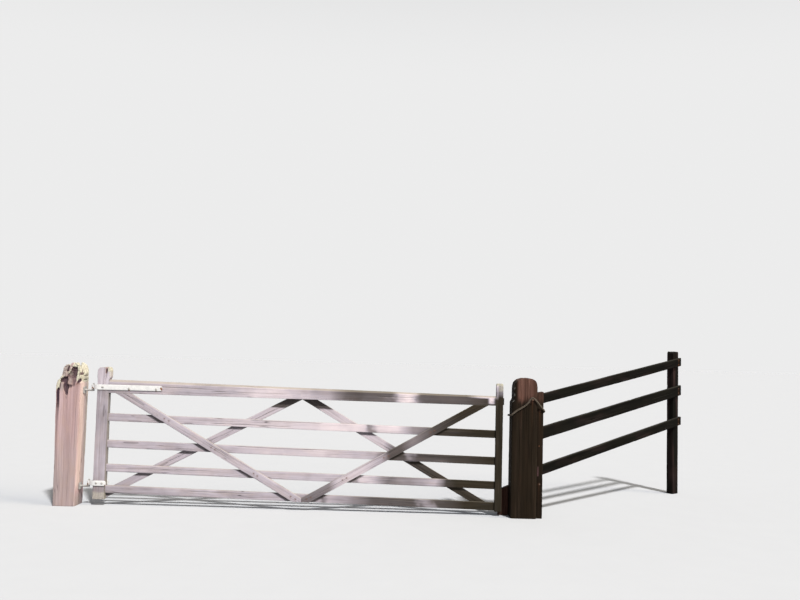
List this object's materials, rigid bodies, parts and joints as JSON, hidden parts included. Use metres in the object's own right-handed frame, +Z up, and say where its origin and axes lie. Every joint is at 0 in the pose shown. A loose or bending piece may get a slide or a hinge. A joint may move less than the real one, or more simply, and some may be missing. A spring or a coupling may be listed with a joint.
{
  "type": "five-bar timber field gate with its posts and one fence bay",
  "caption": "Old braced timber field gate hung on a heavy post, with its latch post, a rope loop and a bay of railed fence.",
  "frame": {"origin": "centre of the hanging post's foot at ground level", "axes": "+X runs along the closed leaf from the hanging post to the latch post, +Z is up, and the leaf opens towards -Y"},
  "size_m": [7.12, 2.1211, 1.782],
  "materials": {
    "hanging_post_timber": "sun-bleached stained softwood, split and decayed at the top",
    "latch_post_timber": "dark brown stained timber, reddish where worn",
    "leaf_timber": "weathered stain, bleached lilac-grey, brown at the latch end",
    "fence_timber": "nearly black creosoted timber",
    "hinge_zinc": "pale galvanised, rusting at the tip",
    "hinge_iron": "galvanised, worn and rusty",
    "nail_iron": "rusty",
    "rope": "old hemp rope, laid strands, weathered to a dark grey-brown"
  },
  "bodies": {
    "posts": {"hanging_post": "hanging_post_timber", "latch_post": "latch_post_timber", "latch_post_batten": "latch_post_timber", "gate_stop_block": "latch_post_timber", "top_hook": "hinge_iron", "bottom_hook": "hinge_iron", "rope_loop": "rope", "rope_nail": "nail_iron", "fence_rail_top": "fence_timber", "fence_rail_middle": "fence_timber", "fence_rail_bottom": "fence_timber", "fence_post": "fence_timber"},
    "gate_leaf": {"hanging_stile": "leaf_timber", "head_stile": "leaf_timber", "top_rail": "leaf_timber", "second_rail": "leaf_timber", "third_rail": "leaf_timber", "fourth_rail": "leaf_timber", "bottom_rail": "leaf_timber", "front_brace_hinge_side": "leaf_timber", "front_brace_latch_side": "leaf_timber", "back_brace_hinge_side": "leaf_timber", "back_brace_latch_side": "leaf_timber", "top_hinge_band": "hinge_zinc", "bottom_hinge_band": "hinge_zinc"}
  },
  "joints": [
    {"name": "gate_swing", "type": "hinge", "parent": "posts", "child": "gate_leaf", "pos_m": [0.215, 0, 0], "axis": [0, 0, -1], "range_deg": [0, 90]}
  ]
}
